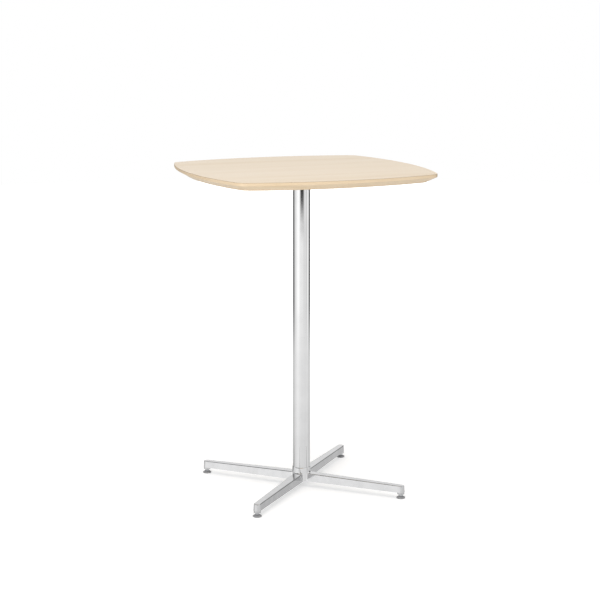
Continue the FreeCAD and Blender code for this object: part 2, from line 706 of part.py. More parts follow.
def make_glide_stud(place, quarter):
    body = new_body(f"glide_stud_{place}")
    head_radius = "(dim.stud_radius + dim.stud_head_step)"
    neck_radius = "(dim.stud_radius - dim.stud_neck_step)"
    head_top = "(dim.foot_floor + dim.stud_head_height)"
    top = f"({TIP_TOP} - dim.stud_crown_gap)"
    head = [("0", "dim.foot_floor"), (head_radius, "dim.foot_floor"), (head_radius, head_top)]
    neck = [(neck_radius, head_top), (neck_radius, HEX_UNDER)]
    shank = [("dim.stud_radius", HEX_UNDER), ("dim.stud_radius", f"({top} - dim.stud_chamfer)")]
    end = [("(dim.stud_radius - dim.stud_chamfer)", top), ("0", top)]
    revolve(body, "stud", head + neck + shank + end)
    section = new_sketch(body, "hex_section", "XY_Plane", HEX_UNDER)
    draw_hexagon(section, "(2 * (dim.stud_radius + dim.stud_hex_step))")
    pad(body, section, "hex", "dim.stud_hex_height")
    place_at_tip(body, quarter)
    return body


def make_glide_foot(place, quarter):
    body = new_body(f"glide_foot_{place}")
    socket_radius = "(dim.stud_radius + dim.stud_head_step + dim.socket_fit)"
    mouth_radius = "(dim.stud_radius - dim.stud_neck_step + dim.socket_fit)"
    sole_radius = "(dim.foot_radius - dim.foot_sole_chamfer)"
    sole = [("0", "0"), (sole_radius, "0"), ("dim.foot_radius", "dim.foot_sole_chamfer")]
    dome = [("dim.foot_radius", "dim.foot_rim_height"), ("dim.foot_dome_radius", FOOT_TOP)]
    mouth = [(mouth_radius, FOOT_TOP), (mouth_radius, SOCKET_TOP)]
    socket = [(socket_radius, SOCKET_TOP), (socket_radius, "dim.foot_floor"), ("0", "dim.foot_floor")]
    revolve(body, "foot", sole + dome + mouth + socket)
    place_at_tip(body, quarter)
    return body


def make_glides():
    glides = []
    for place, quarter in QUARTERS.items():
        glides.append(make_glide_foot(place, quarter))
        glides.append(make_glide_stud(place, quarter))
    return glides


pieces = []
pieces += make_face_veneer()
pieces += make_top_core()
pieces += make_backing_veneer()
pieces += make_lippings()
pieces += make_threaded_inserts()
pieces += make_top_screws()
pieces += make_top_spider()
pieces += make_column()
pieces += make_tie_rod()
pieces += make_tie_rod_fasteners()
pieces += make_base()
pieces += make_glides()
doc.recompute()

for item in doc.Objects:
    if "Invalid" in item.State or "Error" in item.State:
        raise RuntimeError(f"{item.Label} failed: {item.State}")
for piece in pieces:
    if piece.Shape.isNull() or not piece.Shape.isValid():
        raise RuntimeError(f"{piece.Label} has no valid shape")

os.makedirs("parts", exist_ok=True)
for piece in pieces:
    piece.Shape.exportStep(f"parts/{piece.Label}.step")
    print(f"{piece.Label}: {len(piece.Shape.Solids)} solids, {piece.Shape.Volume:.0f} mm3")
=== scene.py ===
import math

import bmesh
import bpy
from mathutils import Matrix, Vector


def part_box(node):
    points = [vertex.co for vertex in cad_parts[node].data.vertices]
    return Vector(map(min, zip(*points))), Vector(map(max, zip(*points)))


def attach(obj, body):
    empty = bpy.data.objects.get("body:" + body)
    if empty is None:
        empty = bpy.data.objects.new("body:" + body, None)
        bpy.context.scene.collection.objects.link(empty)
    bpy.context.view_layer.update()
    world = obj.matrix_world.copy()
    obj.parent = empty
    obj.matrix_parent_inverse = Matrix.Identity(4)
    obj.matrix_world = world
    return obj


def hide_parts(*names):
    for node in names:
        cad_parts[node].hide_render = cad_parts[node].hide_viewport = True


# Bar table: maple top with an undercut edge, chromed column, polished four-leg base on glides
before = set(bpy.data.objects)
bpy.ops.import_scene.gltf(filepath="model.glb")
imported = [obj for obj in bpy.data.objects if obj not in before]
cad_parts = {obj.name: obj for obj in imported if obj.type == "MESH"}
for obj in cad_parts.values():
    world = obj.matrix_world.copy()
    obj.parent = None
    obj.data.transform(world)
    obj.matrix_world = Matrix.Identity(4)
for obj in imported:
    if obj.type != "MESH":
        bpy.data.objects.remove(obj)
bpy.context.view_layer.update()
mm = 0.001  # sizes below are written in millimetres
cornerPlaces = {
    "front_left": (-1, -1), "front_right": (1, -1), "back_right": (1, 1), "back_left": (-1, 1),
}
print("frame loaded:", len(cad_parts), "CAD nodes")


def heights(nodeName):
    # lowest and highest level of a CAD node
    low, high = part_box(nodeName)
    return low.z / mm, high.z / mm


def axisOf(nodeName):
    # where the upright axis of a CAD node stands
    low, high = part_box(nodeName)
    return (low.x + high.x) / 2 / mm, (low.y + high.y) / 2 / mm


# Mesh helpers: a shape is a list of points and a list of faces

meshValues = {"weldDistance": 1e-7, "axisRadius": 1e-6, "creaseAngle": 32}


def roundCorners(corners, steps):
    # softens an open 2-D line, whose corners are (across, up, ease radius)
    line = []
    for index, (across, up, ease) in enumerate(corners):
        if not ease:
            line.append((across, up))
            continue
        here = Vector((across, up))
        back = (Vector(corners[index - 1][:2]) - here).normalized()
        ahead = (Vector(corners[index + 1][:2]) - here).normalized()
        half = back.angle(ahead) / 2
        middle = here + (back + ahead).normalized() * ease / math.sin(half)
        start = here + back * ease / math.tan(half)
        end = here + ahead * ease / math.tan(half)
        for step in range(steps + 1):
            ray = (start - middle).slerp(end - middle, step / steps)
            line.append(tuple(middle + ray.normalized() * ease))
    return line


def addLine(points, line, height):
    # puts a level line among the points and tells where it went
    start = len(points)
    points.extend((x, y, height) for x, y in line)
    return list(range(start, len(points)))


def addRing(points, centre, height, radii):
    # a level ring about an upright axis, with a radius for each step round it
    line = []
    for step, radius in enumerate(radii):
        angle = 2 * math.pi * step / len(radii)
        line.append((centre[0] + radius * math.cos(angle), centre[1] + radius * math.sin(angle)))
    return addLine(points, line, height)


def bridgeRings(faces, rings, closed=True):
    for first, second in zip(rings, rings[1:]):
        count = len(first)
        for index in range(count if closed else count - 1):
            after = (index + 1) % count
            faces.append((first[index], first[after], second[after], second[index]))


def capEnds(faces, rings):
    faces.append(tuple(rings[-1]))
    faces.append(tuple(reversed(rings[0])))


def latheShape(profile, segments, centre=(0, 0)):
    # turns an open (radius, height) line about an upright axis, or a closed one where its ends meet
    points, faces, rings = [], [], []
    for radius, height in profile:
        if radius < meshValues["axisRadius"]:
            points.append((*centre, height))
            rings.append([len(points) - 1] * segments)
        else:
            rings.append(addRing(points, centre, height, [radius] * segments))
    bridgeRings(faces, rings)
    faces = [tuple(dict.fromkeys(face)) for face in faces]  # three corners are left at the axis
    return points, [face for face in faces if len(face) > 2]


def ringSection(bore, radius, under, top, ease, boreEase, steps):
    # closed section of a tube or washer, from the middle of its outer wall
    middle = (under + top) / 2
    return roundCorners([
        (radius, middle, 0), (radius, top, ease), (bore, top, boreEase),
        (bore, under, boreEase), (radius, under, ease), (radius, middle, 0),
    ], steps)


def joinShapes(*shapes):
    points, faces = [], []
    for shapePoints, shapeFaces in shapes:
        start = len(points)
        points.extend(shapePoints)
        faces.extend(tuple(index + start for index in face) for face in shapeFaces)
    return points, faces


def addPiece(name, shape, finish, body):
    points, faces = shape
    mesh = bpy.data.meshes.new(name)
    mesh.from_pydata([tuple(value * mm for value in point) for point in points], [], faces)
    edit = bmesh.new()
    edit.from_mesh(mesh)
    bmesh.ops.remove_doubles(edit, verts=edit.verts, dist=meshValues["weldDistance"])
    bmesh.ops.recalc_face_normals(edit, faces=edit.faces)
    edit.to_mesh(mesh)
    edit.free()
    mesh.shade_smooth()
    mesh.set_sharp_from_angle(angle=math.radians(meshValues["creaseAngle"]))
    mesh.materials.append(finish)
    piece = bpy.data.objects.new(name, mesh)
    bpy.context.scene.collection.objects.link(piece)
    evenShading = piece.modifiers.new("evenShading", "WEIGHTED_NORMAL")  # keeps long flat faces flat
    evenShading.keep_sharp = True
    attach(piece, body)
    return piece


# Node helpers

def feed(tree, socket, value):
    # links another node's output, or writes a plain value
    if isinstance(value, bpy.types.NodeSocket):
        tree.links.new(value, socket)
    else:
        socket.default_value = value


def addNode(tree, kind, inputs=None, **settings):
    node = tree.nodes.new(kind)
    for name, value in settings.items():
        setattr(node, name, value)
    for name, value in (inputs or {}).items():
        feed(tree, node.inputs[name], value)
    return node


def addNoise(tree, place, scale, **settings):
    inputs = {"Vector": place, "Scale": scale, **{name.title(): value for name, value in settings.items()}}
    return addNode(tree, "ShaderNodeTexNoise", inputs).outputs["Fac"]


def addRamp(tree, factor, stops, interpolation="LINEAR"):
    node = addNode(tree, "ShaderNodeValToRGB", {"Fac": factor})
    ramp = node.color_ramp
    ramp.interpolation = interpolation
    while len(ramp.elements) < len(stops):
        ramp.elements.new(0.5)
    for element, (place, shade) in zip(ramp.elements, stops):
        element.position = place
        element.color = shade if isinstance(shade, tuple) else (shade, shade, shade, 1)
    return node.outputs["Color"]


def addMath(tree, operation, first, second=0.0):
    return addNode(tree, "ShaderNodeMath", {0: first, 1: second}, operation=operation).outputs["Value"]


def addVectorMath(tree, operation, first, second=(0, 0, 0), output="Value"):
    return addNode(tree, "ShaderNodeVectorMath", {0: first, 1: second}, operation=operation).outputs[output]


def addRange(tree, value, limits, first=0.0, last=1.0):
    # runs from first to last while the value goes from one limit to the other
    return addNode(tree, "ShaderNodeMapRange", {
        "Value": value, "From Min": limits[0], "From Max": limits[1], "To Min": first, "To Max": last,
    }).outputs[0]


def mixValues(tree, share, first, second):
    # a mix node keeps its plain values in sockets 2 and 3
    return addNode(tree, "ShaderNodeMix", {0: share, 2: first, 3: second}, data_type="FLOAT").outputs[0]


def mixColours(tree, share, first, second):
    # and its colours in sockets 6 and 7
    return addNode(tree, "ShaderNodeMix", {0: share, 6: first, 7: second}, data_type="RGBA").outputs[2]


def rgb(red, green, blue):
    # a colour as seen on screen, turned by the standard curve into the linear one that shaders take
    def linear(share):
        return share / 12.92 if share <= 0.04045 else ((share + 0.055) / 1.055) ** 2.4
    return (linear(red / 255), linear(green / 255), linear(blue / 255), 1.0)


def newGroup(name, inputs, outputs):
    group = bpy.data.node_groups.new(name, "ShaderNodeTree")
    kinds = {"value": "NodeSocketFloat", "colour": "NodeSocketColor", "vector": "NodeSocketVector"}
    for label, kind in inputs.items():
        group.interface.new_socket(name=label, in_out="INPUT", socket_type=kinds[kind])
    for label, kind in outputs.items():
        group.interface.new_socket(name=label, in_out="OUTPUT", socket_type=kinds[kind])
    return group, group.nodes.new("NodeGroupInput").outputs, group.nodes.new("NodeGroupOutput").inputs


def placeGroup(tree, group, inputs):
    return addNode(tree, "ShaderNodeGroup", inputs, node_tree=group).outputs


def newFinish(name, values):
    finish = bpy.data.materials.new(name)
    finish.use_nodes = True
    shader = finish.node_tree.nodes["Principled BSDF"]
    for socket, value in values.items():
        shader.inputs[socket].default_value = value
    return finish, finish.node_tree, shader


def objectCoordinates(tree, turn=0.0):
    place = addNode(tree, "ShaderNodeTexCoord").outputs["Object"]
    return addNode(tree, "ShaderNodeMapping", {"Vector": place, "Rotation": (0, 0, turn)}).outputs["Vector"]


def bumpFrom(tree, shader, height, grain):
    # grain is the bump's strength and its depth
    strength, depth = grain
    bump = addNode(tree, "ShaderNodeBump", {"Height": height, "Strength": strength, "Distance": depth * mm})
    tree.links.new(bump.outputs["Normal"], shader.inputs["Normal"])


# Effects that more than one finish uses

figureValues = {
    "bandStretch": (0.07, 1.0, 1.0), "bandDetail": 6.0, "bandRoughness": 0.62, "bandDistortion": 0.35,
    "bandStops": [(0.36, 0.0), (0.5, 0.35), (0.66, 1.0)], "bandWeight": 0.6,
    "fleckStretch": (26.0, 560.0, 560.0), "fleckDetail": 2.0, "fleckStops": [(0.56, 0.0), (0.72, 1.0)],
    "cloudScale": 5.0, "cloudDetail": 3.0, "roughnessSpan": 0.12,
}


def makeWoodFigure():
    values = figureValues
    group, given, result = newGroup(
        "woodFigure",
        {"Vector": "vector", "Pale": "colour", "Dark": "colour", "Band Scale": "value",
         "Fleck Amount": "value", "Cloud Amount": "value"},
        {"Color": "colour", "Roughness Shift": "value", "Height": "value"})
    along = addVectorMath(group, "MULTIPLY", given["Vector"], values["bandStretch"], "Vector")
    bands = addNoise(group, along, given["Band Scale"], detail=values["bandDetail"],
                     roughness=values["bandRoughness"], distortion=values["bandDistortion"])
    bandShare = addRamp(group, bands, values["bandStops"], "EASE")
    fine = addVectorMath(group, "MULTIPLY", given["Vector"], values["fleckStretch"], "Vector")
    flecks = addNoise(group, fine, 1.0, detail=values["fleckDetail"])
    fleckShare = addRamp(group, flecks, values["fleckStops"])
    clouds = addNoise(group, given["Vector"], values["cloudScale"], detail=values["cloudDetail"])
    # noise is 0.5 on the whole, so the clouds darken as much as they lighten
    cloudPart = addMath(group, "MULTIPLY", addMath(group, "SUBTRACT", clouds, 0.5), given["Cloud Amount"])
    fleckPart = addMath(group, "MULTIPLY", fleckShare, given["Fleck Amount"])
    bandPart = addMath(group, "MULTIPLY", bandShare, values["bandWeight"])
    total = addMath(group, "ADD", addMath(group, "ADD", bandPart, fleckPart), cloudPart)
    share = addNode(group, "ShaderNodeClamp", {"Value": total}).outputs[0]
    feed(group, result["Color"], mixColours(group, share, given["Pale"], given["Dark"]))
    feed(group, result["Roughness Shift"], addMath(group, "MULTIPLY", share, values["roughnessSpan"]))
    feed(group, result["Height"], addMath(group, "SUBTRACT", 1.0, fleckShare))
    return group


mottleValues = {
    "broadDetail": 4.0, "broadRoughness": 0.55, "broadStops": [(0.35, 0.0), (0.68, 1.0)], "broadWeight": 0.75,
    "fineDetail": 2.0, "fineWeight": 0.25,
}


def makeSurfaceMottle():
    values = mottleValues
    group, given, result = newGroup(
        "surfaceMottle",
        {"Vector": "vector", "Broad Scale": "value", "Fine Scale": "value", "Low": "value", "High": "value"},
        {"Roughness": "value", "Mask": "value", "Height": "value"})
    broad = addNoise(group, given["Vector"], given["Broad Scale"], detail=values["broadDetail"],
                     roughness=values["broadRoughness"])
    fine = addNoise(group, given["Vector"], given["Fine Scale"], detail=values["fineDetail"])
    broadShare = addRamp(group, broad, values["broadStops"], "EASE")
    mixed = addMath(group, "ADD", addMath(group, "MULTIPLY", broadShare, values["broadWeight"]),
                    addMath(group, "MULTIPLY", fine, values["fineWeight"]))
    span = addMath(group, "SUBTRACT", given["High"], given["Low"])
    spread = addMath(group, "MULTIPLY", mixed, span)
    feed(group, result["Roughness"], addMath(group, "ADD", given["Low"], spread))
    feed(group, result["Mask"], broadShare)
    feed(group, result["Height"], fine)
    return group


rubValues = {
    "edgeStops": [(0.52, 0.0), (0.60, 1.0)], "patchDetail": 3.0, "patchStops": [(0.38, 0.15), (0.62, 1.0)],
}


def makeEdgeRub():
    values = rubValues
    group, given, result = newGroup(
        "edgeRub", {"Vector": "vector", "Amount": "value", "Patch Scale": "value"}, {"Mask": "value"})
    point = addNode(group, "ShaderNodeNewGeometry").outputs["Pointiness"]
    edge = addRamp(group, point, values["edgeStops"])
    patches = addNoise(group, given["Vector"], given["Patch Scale"], detail=values["patchDetail"])
    broken = addRamp(group, patches, values["patchStops"])
    worn = addMath(group, "MULTIPLY", edge, broken)
    feed(group, result["Mask"], addMath(group, "MULTIPLY", worn, given["Amount"]))
    return group


woodFigure = makeWoodFigure()
surfaceMottle = makeSurfaceMottle()
edgeRub = makeEdgeRub()
print("shared effects made")


# Finishes: wood and coats are given in screen colours, metals as the share of light they mirror

mapleFaceValues = {
    "lacquer": {"Coat Weight": 0.25, "Coat Roughness": 0.22, "IOR": 1.48},
    "pale": (239, 220, 193), "dark": (230, 208, 176), "bandScale": 11.0, "fleckAmount": 0.28,
    "cloudAmount": 0.3, "roughness": 0.36, "grain": (0.12, 0.15),
    "glueTone": (142, 114, 84), "glueRise": (0.55, 0.75),  # how far up the veneer the glue line goes
}
mapleEdgeValues = {
    "lacquer": {"Coat Weight": 0.2, "Coat Roughness": 0.25, "IOR": 1.48},
    "pale": (237, 214, 181), "dark": (225, 198, 159), "bandScale": 40.0, "fleckAmount": 0.35,
    "cloudAmount": 0.25, "roughness": 0.36, "grain": (0.14, 0.15),
}
backingValues = {
    "lacquer": {"IOR": 1.48},
    "pale": (222, 204, 176), "dark": (200, 176, 142), "bandScale": 14.0, "fleckAmount": 0.5,
    "cloudAmount": 0.45, "roughness": 0.5, "grain": (0.2, 0.2),
}


def makeWood(name, values, turn=0.0):
    finish, tree, shader = newFinish(name, values["lacquer"])
    place = objectCoordinates(tree, turn)
    figure = placeGroup(tree, woodFigure, {
        "Vector": place, "Pale": rgb(*values["pale"]), "Dark": rgb(*values["dark"]),
        "Band Scale": values["bandScale"], "Fleck Amount": values["fleckAmount"],
        "Cloud Amount": values["cloudAmount"],
    })
    colour = figure["Color"]
    if "glueTone" in values:
        # the thin edge of the veneer shows its dark glue line all round
        height = addNode(tree, "ShaderNodeSeparateXYZ", {0: place}).outputs["Z"]
        veneerUnder = heights("face_veneer")[0]
        limits = [(veneerUnder + rise) * mm for rise in values["glueRise"]]
        glueShare = addRange(tree, height, limits, 1.0, 0.0)
        colour = mixColours(tree, glueShare, colour, rgb(*values["glueTone"]))
    tree.links.new(colour, shader.inputs["Base Color"])
    roughness = addMath(tree, "ADD", figure["Roughness Shift"], values["roughness"])
    tree.links.new(roughness, shader.inputs["Roughness"])
    bumpFrom(tree, shader, figure["Height"], values["grain"])
    return finish


chipboardValues = {
    "roughness": 0.85, "chipScale": 420.0, "grain": (0.5, 0.6),
    "tones": [(0.0, (150, 116, 78)), (0.5, (190, 156, 112)), (1.0, (214, 184, 140))],
}


def makeChipboard():
    finish, tree, shader = newFinish("chipboard", {"Roughness": chipboardValues["roughness"]})
    chips = addNode(tree, "ShaderNodeTexVoronoi", {
        "Vector": objectCoordinates(tree), "Scale": chipboardValues["chipScale"],
    }).outputs
    tone = addNode(tree, "ShaderNodeSeparateColor", {"Color": chips["Color"]}).outputs[0]
    colour = addRamp(tree, tone, [(place, rgb(*shade)) for place, shade in chipboardValues["tones"]])
    tree.links.new(colour, shader.inputs["Base Color"])
    bumpFrom(tree, shader, chips["Distance"], chipboardValues["grain"])
    return finish


def placeMottle(tree, place, values):
    return placeGroup(tree, surfaceMottle, {
        "Vector": place, "Broad Scale": values["broadScale"], "Fine Scale": values["fineScale"],
        "Low": values["rough"][0], "High": values["rough"][1],
    })


chromeValues = {
    "bright": (0.765, 0.765, 0.767, 1), "dull": (0.73, 0.73, 0.732, 1), "rough": (0.04, 0.075),
    "broadScale": 14.0, "fineScale": 700.0, "grain": (0.01, 0.1),
}
castingValues = {
    "bright": (0.62, 0.62, 0.625, 1), "dull": (0.58, 0.58, 0.585, 1), "rough": (0.07, 0.12),
    "broadScale": 30.0, "fineScale": 900.0, "grain": (0.01, 0.1),
    "hubTone": (0.78, 0.78, 0.785, 1), "hubReach": (31.5, 34.5),
}
zincValues = {
    "bright": (0.66, 0.67, 0.69, 1), "dull": (0.52, 0.53, 0.55, 1), "rough": (0.24, 0.4),
    "broadScale": 240.0, "fineScale": 2400.0, "grain": (0.08, 0.1),
}
brassValues = {
    "bright": (0.80, 0.62, 0.30, 1), "dull": (0.68, 0.50, 0.24, 1), "rough": (0.24, 0.38),
    "broadScale": 200.0, "fineScale": 2000.0, "grain": (0.06, 0.1),
}


def makeMetal(name, values):
    # polished or plated metal, whose tone and polish drift slowly over the surface
    finish, tree, shader = newFinish(name, {"Metallic": 1.0})
    place = objectCoordinates(tree)
    mottle = placeMottle(tree, place, values)
    colour = mixColours(tree, mottle["Mask"], values["bright"], values["dull"])
    if "hubTone" in values:
        # the hub is turned and polished brighter than the legs, which keep a little of the cast skin
        level = addVectorMath(tree, "MULTIPLY", place, (1, 1, 0), "Vector")
        limits = [reach * mm for reach in values["hubReach"]]
        hubShare = addRange(tree, addVectorMath(tree, "LENGTH", level), limits, 1.0, 0.0)
        colour = mixColours(tree, hubShare, colour, values["hubTone"])
    tree.links.new(colour, shader.inputs["Base Color"])
    tree.links.new(mottle["Roughness"], shader.inputs["Roughness"])
    bumpFrom(tree, shader, mottle["Height"], values["grain"])
    return finish


mountCoatValues = {
    "ior": 1.5, "plain": (44, 44, 46), "faded": (54, 54, 56), "rubbed": (96, 95, 93),
    "rough": (0.42, 0.6), "broadScale": 30.0, "fineScale": 1300.0, "rubAmount": 0.35, "rubScale": 120.0,
    "grain": (0.35, 0.3),
}
glidePlasticValues = {
    "ior": 1.46, "plain": (147, 147, 149), "faded": (160, 160, 161), "rubbed": (188, 188, 188),
    "rough": (0.42, 0.58), "broadScale": 110.0, "fineScale": 2600.0, "rubAmount": 0.5, "rubScale": 420.0,
    "grain": (0.25, 0.12),
}


def makeRubbed(name, values):
    # powder coat or moulded plastic, rubbed paler along its edges
    finish, tree, shader = newFinish(name, {"IOR": values["ior"]})
    place = objectCoordinates(tree)
    mottle = placeMottle(tree, place, values)
    rub = placeGroup(tree, edgeRub, {
        "Vector": place, "Amount": values["rubAmount"], "Patch Scale": values["rubScale"],
    })
    plain = mixColours(tree, mottle["Mask"], rgb(*values["plain"]), rgb(*values["faded"]))
    colour = mixColours(tree, rub["Mask"], plain, rgb(*values["rubbed"]))
    tree.links.new(colour, shader.inputs["Base Color"])
    tree.links.new(mottle["Roughness"], shader.inputs["Roughness"])
    bumpFrom(tree, shader, mottle["Height"], values["grain"])
    return finish


mapleFace = makeWood("mapleFace", mapleFaceValues)
mapleEdgeAlong = makeWood("mapleEdgeAlong", mapleEdgeValues)
mapleEdgeAcross = makeWood("mapleEdgeAcross", mapleEdgeValues, turn=math.pi / 2)
backingSheet = makeWood("backingSheet", backingValues)
chipboard = makeChipboard()
chromePlate = makeMetal("chromePlate", chromeValues)
polishedCasting = makeMetal("polishedCasting", castingValues)
zincSteel = makeMetal("zincSteel", zincValues)
brass = makeMetal("brassInsert", brassValues)
blackCastMount = makeRubbed("blackCastMount", mountCoatValues)
glidePlastic = makeRubbed("glidePlastic", glidePlasticValues)
print("finishes made")


# Wooden top: a face veneer and four mitred lippings, all on one soft-square outline

topValues = {
    "width": 762, "sideRadius": 1037, "cornerRadius": 40, "underCornerRadius": 45, "coreCornerRadius": 42,
    "edgeDepth": 9, "bevelWidth": 30, "lippingWidth": 38, "innerStep": 1, "rimWidth": 12,
    "faceEase": 0.4, "arrisEase": 0.25, "edgeEase": 2.0, "bevelEase": 1.2,
    "easeSteps": 4, "sideSteps": 40, "cornerSteps": 16,
}
lippingSides = {"right": 0, "back": 1, "left": 2, "front": 3}  # quarter turns from the side that faces +X


def quarterOutline(inset, cornerRadius):
    # one side of the top, facing +X, from the middle of one corner to the middle of the next
    half = topValues["width"] / 2
    bow = topValues["sideRadius"] - half
    apart = topValues["sideRadius"] - inset - cornerRadius
    corner = (math.sqrt(2 * apart ** 2 - bow ** 2) - bow) / 2
    meet = math.atan2(corner, corner + bow)
    line = []
    for step in range(topValues["cornerSteps"] + 1):
        angle = -math.pi / 4 + (math.pi / 4 - meet) * step / topValues["cornerSteps"]
        line.append((corner + cornerRadius * math.cos(angle), -corner + cornerRadius * math.sin(angle)))
    for step in range(1, topValues["sideSteps"]):
        angle = -meet + 2 * meet * step / topValues["sideSteps"]
        radius = topValues["sideRadius"] - inset
        line.append((-bow + radius * math.cos(angle), radius * math.sin(angle)))
    line.extend((x, -y) for x, y in reversed(line[:topValues["cornerSteps"] + 1]))
    return line


def turned(line, quarters):
    for _ in range(quarters):
        line = [(-y, x) for x, y in line]
    return line


def fullOutline(inset, cornerRadius):
    line = []
    for quarters in range(4):
        line.extend(turned(quarterOutline(inset, cornerRadius), quarters)[:-1])
    return line


def outlineRadius(inset):
    # the corners grow rounder as the bevel runs in
    share = min(inset / topValues["bevelWidth"], 1)
    return topValues["cornerRadius"] + share * (topValues["underCornerRadius"] - topValues["cornerRadius"])


def makeFaceVeneer():
    under, top = heights("face_veneer")
    corners = [(0, under, 0), (0, top, topValues["faceEase"]), (topValues["rimWidth"], top, 0)]
    points, faces, rings = [], [], []
    for inset, height in roundCorners(corners, topValues["easeSteps"]):
        rings.append(addLine(points, fullOutline(inset, outlineRadius(inset)), height))
    bridgeRings(faces, rings)
    capEnds(faces, rings)
    piece = addPiece("topFace", (points, faces), mapleFace, "table")
    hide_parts("face_veneer")


def makeLippings():
    under, top = heights("lipping_front")
    width, edgeUnder = topValues["lippingWidth"], top - topValues["edgeDepth"]
    outer = roundCorners([
        (width / 2, top, 0), (0, top, topValues["arrisEase"]), (0, edgeUnder, topValues["edgeEase"]),
        (topValues["bevelWidth"], under, topValues["bevelEase"]), (width - topValues["innerStep"], under, 0),
    ], topValues["easeSteps"])
    sections = [(inset, height, outlineRadius(inset)) for inset, height in outer]
    sections.append((width, under, topValues["coreCornerRadius"]))
    sections.append((width, top, topValues["coreCornerRadius"]))
    for side, quarters in lippingSides.items():
        points, faces, strips = [], [], []
        for inset, height, cornerRadius in sections:
            strips.append(addLine(points, turned(quarterOutline(inset, cornerRadius), quarters), height))
        bridgeRings(faces, strips + strips[:1], closed=False)
        faces.append(tuple(strip[0] for strip in strips))
        faces.append(tuple(strip[-1] for strip in reversed(strips)))
        finish = mapleEdgeAlong if side in ("front", "back") else mapleEdgeAcross
        piece = addPiece("topLipping_" + side, (points, faces), finish, "table")
        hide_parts("lipping_" + side)


makeFaceVeneer()
makeLippings()
print("top made")


# Chromed column

columnValues = {"radius": 28.5, "wall": 2, "endEase": 0.5, "easeSteps": 3, "segments": 160}


def makeColumn():
    under, top = heights("column_tube")
    radius, ease = columnValues["radius"], columnValues["endEase"]
    bore = radius - columnValues["wall"]
    section = ringSection(bore, radius, under, top, ease, ease, columnValues["easeSteps"])
    shape = latheShape(section, columnValues["segments"])
    piece = addPiece("columnTube", shape, chromePlate, "table")
    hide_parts("column_tube")


makeColumn()
print("column made")


# Hexagons and threads

hexValues = {"sideSteps": 8, "chamferRise": 0.6, "chamferCut": 1.6}
threadValues = {"ringsPerPitch": 8, "crestLevel": 1.25, "flankSlope": 3.2}


def hexRadii(flats, count):
    # reach of a hexagon at each step round it
    radii = []
    for step in range(count):
        angle = 2 * math.pi * step / count
        fromFlat = (angle + math.pi / 6) % (math.pi / 3) - math.pi / 6
        radii.append(flats / 2 / math.cos(fromFlat))
    return radii


def hexPrism(flats, under, top, ease, centre, bore):
    # hexagon with corners turned off at both ends, as a machined nut has
    points, faces, rings = [], [], []
    count = 6 * hexValues["sideSteps"]
    rise, cut = ease * hexValues["chamferRise"], ease * hexValues["chamferCut"]
    for height, cornerCut in ((under, cut), (under + rise, 0), (top - rise, 0), (top, cut)):
        limit = max(flats / 2 / math.cos(math.pi / 6) - cornerCut, flats / 2)
        radii = [min(radius, limit) for radius in hexRadii(flats, count)]
        rings.append(addRing(points, centre, height, radii))
    bridgeRings(faces, rings)
    bores = [addRing(points, centre, height, [bore] * count) for height in (under, top)]
    bridgeRings(faces, [rings[0], bores[0]])
    bridgeRings(faces, [rings[-1], bores[1]])
    bridgeRings(faces, bores)
    return points, faces


def threadShape(crest, root, pitch, under, top, chamfers, centre, steps):
    # right-hand thread as rings whose radius follows the turn, with its lower and upper ends chamfered
    points, faces, rings = [], [], []
    count = int(round((top - under) / pitch * threadValues["ringsPerPitch"]))
    for level in range(count + 1):
        height = under + (top - under) * level / count
        limit = crest - max(0.0, chamfers[0] - (height - under), chamfers[1] - (top - height))
        radii = []
        for step in range(steps):
            phase = (height / pitch - step / steps) % 1.0
            rise = threadValues["crestLevel"] - abs(phase - 0.5) * threadValues["flankSlope"]
            radii.append(min(root + (crest - root) * min(1.0, max(0.0, rise)), limit))
        rings.append(addRing(points, centre, height, radii))
    bridgeRings(faces, rings)
    capEnds(faces, rings)
    return points, faces


# Levelling glides: moulded foot and threaded stud under each leg

footValues = {
    "radius": 14.25, "soleChamfer": 1, "soleEase": 0.3, "rimTop": 3.4, "rimEase": 0.7,
    "domeRadius": 7.2, "domeEase": 0.8, "neckHole": 3.3, "neckEase": 0.4,
    "socketRadius": 5.1, "socketTop": 5.7, "socketUnder": 2.6, "socketEase": 0.2,
    "easeSteps": 3, "segments": 72,
}
studValues = {
    "headRadius": 5, "headTop": 5.6, "headEase": 0.8, "headSegments": 40, "easeSteps": 3,
    "neckRadius": 3.2, "neckOverlap": 0.3,
    "hexUnder": 8.2, "hexTop": 11.7, "hexFlats": 12, "hexEase": 0.5, "hexBore": 2,
    "threadRadius": 4, "rootRadius": 3.3, "pitch": 1.25, "tipChamfer": 0.8, "turnSteps": 24,
}


def footShape(centre, top):
    values = footValues
    radius, chamfer, hole = values["radius"], values["soleChamfer"], values["neckHole"]
    socket, socketUnder, socketTop = values["socketRadius"], values["socketUnder"], values["socketTop"]
    profile = roundCorners([
        (0, 0, 0), (radius - chamfer, 0, values["soleEase"]), (radius, chamfer, values["soleEase"]),
        (radius, values["rimTop"], values["rimEase"]), (values["domeRadius"], top, values["domeEase"]),
        (hole, top, values["neckEase"]), (hole, socketTop, values["socketEase"]), (socket, socketTop, 0),
        (socket, socketUnder, values["socketEase"]), (0, socketUnder, 0),
    ], values["easeSteps"])
    return latheShape(profile, values["segments"], centre)


